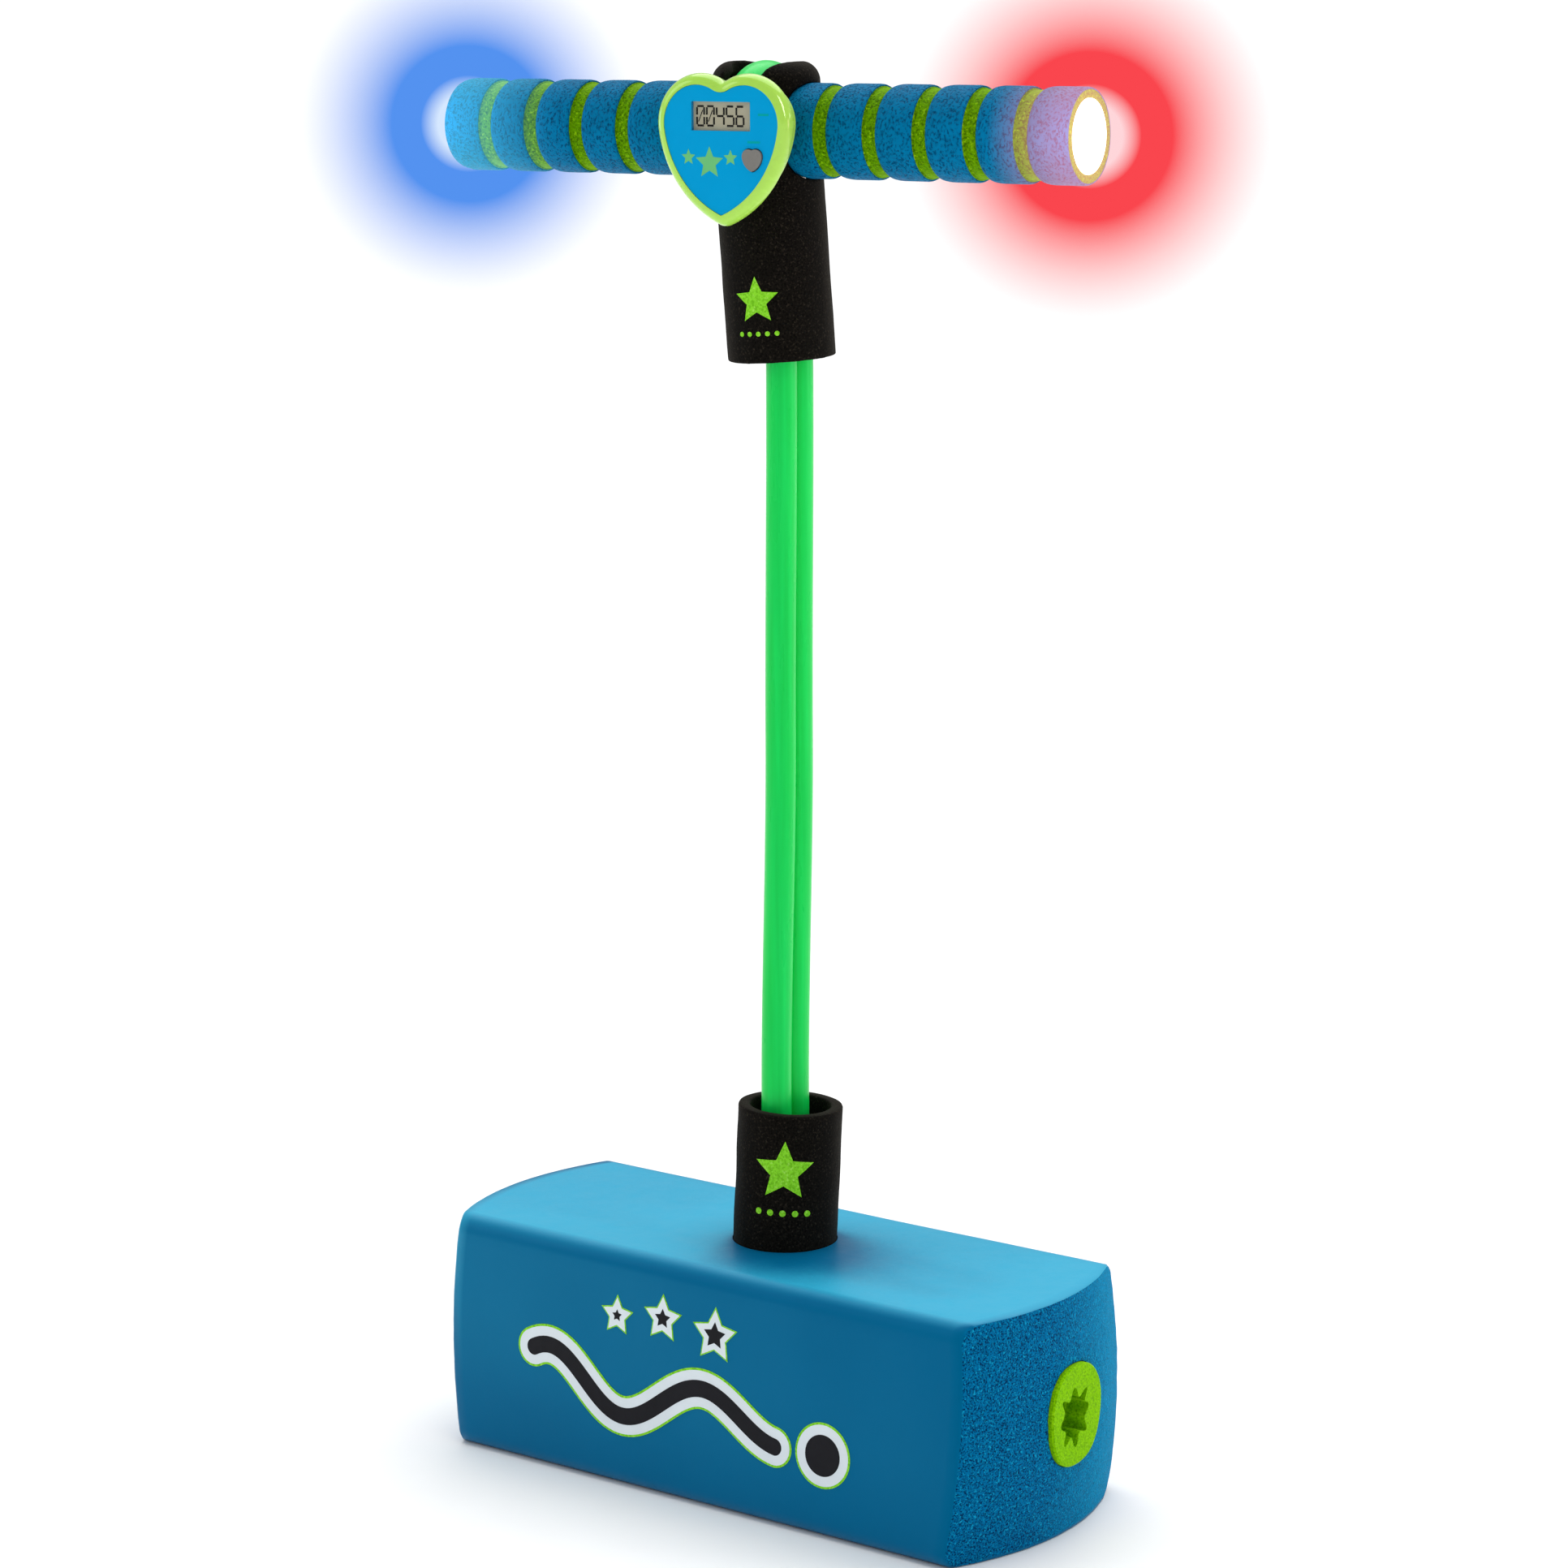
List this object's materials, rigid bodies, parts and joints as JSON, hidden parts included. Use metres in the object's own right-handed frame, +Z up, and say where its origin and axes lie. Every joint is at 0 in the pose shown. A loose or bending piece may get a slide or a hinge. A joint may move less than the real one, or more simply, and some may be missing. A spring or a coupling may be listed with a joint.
{
  "type": "pogo stick",
  "caption": "Foam pogo jumper: a long foam base, a doubled elastic cord through foam sleeves, and a padded T-handlebar with lit ends and a heart-shaped jump counter.",
  "frame": {"origin": "centre of the foam base's flat underside", "axes": "+Z up along the cord, +X along the base to the rider's right when the counter faces -Y, +Y away from the counter"},
  "size_m": [0.2791, 0.1156, 0.5607],
  "materials": {
    "base_foam": "closed-cell foam with a smooth moulded skin and open-cell cut ends",
    "lime_foam": "pitted closed-cell foam",
    "blue_foam": "pitted closed-cell foam skin",
    "black_foam": "fine matt closed-cell foam",
    "green_cord": "glossy translucent elastic",
    "grey_rubber": "soft matt rubber",
    "white_plastic": "plain moulded plastic",
    "lime_plastic": "glossy moulded plastic",
    "blue_plastic": "satin printed plate",
    "clear_window": "clear plastic window",
    "display_glass": "grey liquid-crystal panel",
    "grey_plastic": "glossy moulded button",
    "circuit_board": "green solder mask",
    "cell_steel": "bright nickel plate",
    "spring_steel": "plain steel",
    "light_lens": "frosted translucent plastic",
    "led_blue": "clear epoxy, lit",
    "led_red": "clear epoxy, lit"
  },
  "bodies": {
    "base": {"foam_base": "base_foam", "core_tube": "lime_foam", "anchor_rod": "white_plastic", "squeaker_bulb": "grey_rubber", "squeaker_reed": "white_plastic"},
    "sleeve": {"lower_sleeve": "black_foam"},
    "cord": {"bungee_loop": "green_cord"},
    "handle": {"upper_sleeve": "black_foam", "handle_tube": "white_plastic", "counter_back": "lime_plastic", "counter_bezel": "lime_plastic", "counter_face": "blue_plastic", "counter_window": "clear_window", "lcd_panel": "display_glass", "lcd_connector": "grey_rubber", "counter_board": "circuit_board", "switch_dome": "spring_steel", "counter_cell": "cell_steel", "battery_door": "lime_plastic", "counter_contacts": "spring_steel", "jump_sensor": "spring_steel", "counter_screws": "spring_steel", "left_grip_core": "lime_foam", "left_grip_rings": "blue_foam", "left_light_lens": "light_lens", "left_light_housing": "white_plastic", "left_light_board": "circuit_board", "left_led": "led_blue", "left_light_cells": "cell_steel", "left_shake_switch": "spring_steel", "right_grip_core": "lime_foam", "right_grip_rings": "blue_foam", "right_light_lens": "light_lens", "right_light_housing": "white_plastic", "right_light_board": "circuit_board", "right_led": "led_red", "right_light_cells": "cell_steel", "right_shake_switch": "spring_steel"},
    "button": {"counter_button": "grey_plastic"}
  },
  "joints": [
    {"name": "handle_turn", "type": "hinge", "parent": "base", "child": "sleeve", "pos_m": [0.00208, 0.00156, 0.095], "axis": [0, 0, 1], "range_deg": [-90, 90], "stiffness_Nm_per_rad": 0.6},
    {"name": "cord_lean", "type": "hinge", "parent": "sleeve", "child": "cord", "pos_m": [0.00208, 0.00156, 0.115], "axis": [1, 0, 0], "range_deg": [-25, 25], "stiffness_Nm_per_rad": 4, "deforming": ["lower_sleeve"]},
    {"name": "bungee_stretch", "type": "slide", "parent": "cord", "child": "handle", "axis": [0, 0, 1], "range_m": [0, 0.35], "stiffness_N_per_m": 220, "deforming": ["bungee_loop"]},
    {"name": "button_press", "type": "slide", "parent": "handle", "child": "button", "axis": [-0.1132, 0.9936, 0], "range_m": [0, 0.0012], "stiffness_N_per_m": 15}
  ]
}
